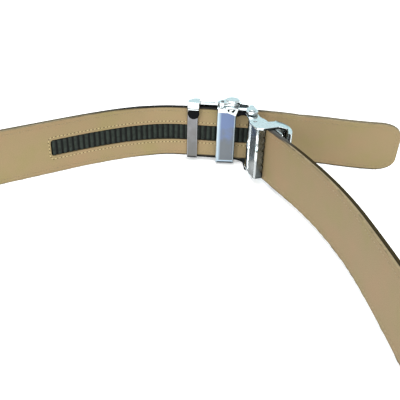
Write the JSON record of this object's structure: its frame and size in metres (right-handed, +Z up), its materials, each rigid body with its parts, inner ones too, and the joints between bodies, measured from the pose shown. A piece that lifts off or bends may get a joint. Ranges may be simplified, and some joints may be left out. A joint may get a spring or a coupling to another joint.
{
  "type": "ratchet belt buckle on its fastened belt",
  "caption": "Fastened leather belt: a toothed strip on the strap runs under two bars of a self-locking buckle, and a hinged clamp grips the fixed end.",
  "frame": {"origin": "middle of the box of the fastened belt, at the level it stands on", "axes": "+X along the front plate towards the free end, +Y outward from the wearer at the buckle, +Z up along the strap's width"},
  "size_m": [0.3428, 0.3316, 0.0458],
  "materials": {
    "black_leather": "smooth, pressed grain",
    "tan_leather": "matt, fine grain",
    "strip_plastic": "moulded, satin",
    "polished_plating": "polished plating on die-cast zinc",
    "satin_steel": "satin",
    "black_plastic": "gloss"
  },
  "bodies": {
    "belt": {"strap_outer": "black_leather", "strap_lining": "tan_leather", "toothed_strip": "strip_plastic", "buckle_frame": "polished_plating", "narrow_bar": "satin_steel", "bar_cap": "black_plastic", "lug_pad": "black_plastic", "pawl_housing": "satin_steel", "clamp_body": "polished_plating", "hinge_pin": "satin_steel", "jaw_pin": "satin_steel"},
    "release": {"pawl": "satin_steel", "pawl_axle": "satin_steel", "release_lever": "polished_plating"},
    "jaw": {"clamp_jaw": "polished_plating"}
  },
  "joints": [
    {"name": "release_pivot", "type": "hinge", "parent": "belt", "child": "release", "pos_m": [0.05353, 0.15346, 0.0206], "axis": [0, 0, -1], "range_deg": [0, 12], "stiffness_Nm_per_rad": 0.05, "springref_deg": -11.46},
    {"name": "jaw_pivot", "type": "hinge", "parent": "belt", "child": "jaw", "pos_m": [0.07574, 0.13403, 0.0211], "axis": [0, 0, -1], "range_deg": [0, 88]}
  ]
}
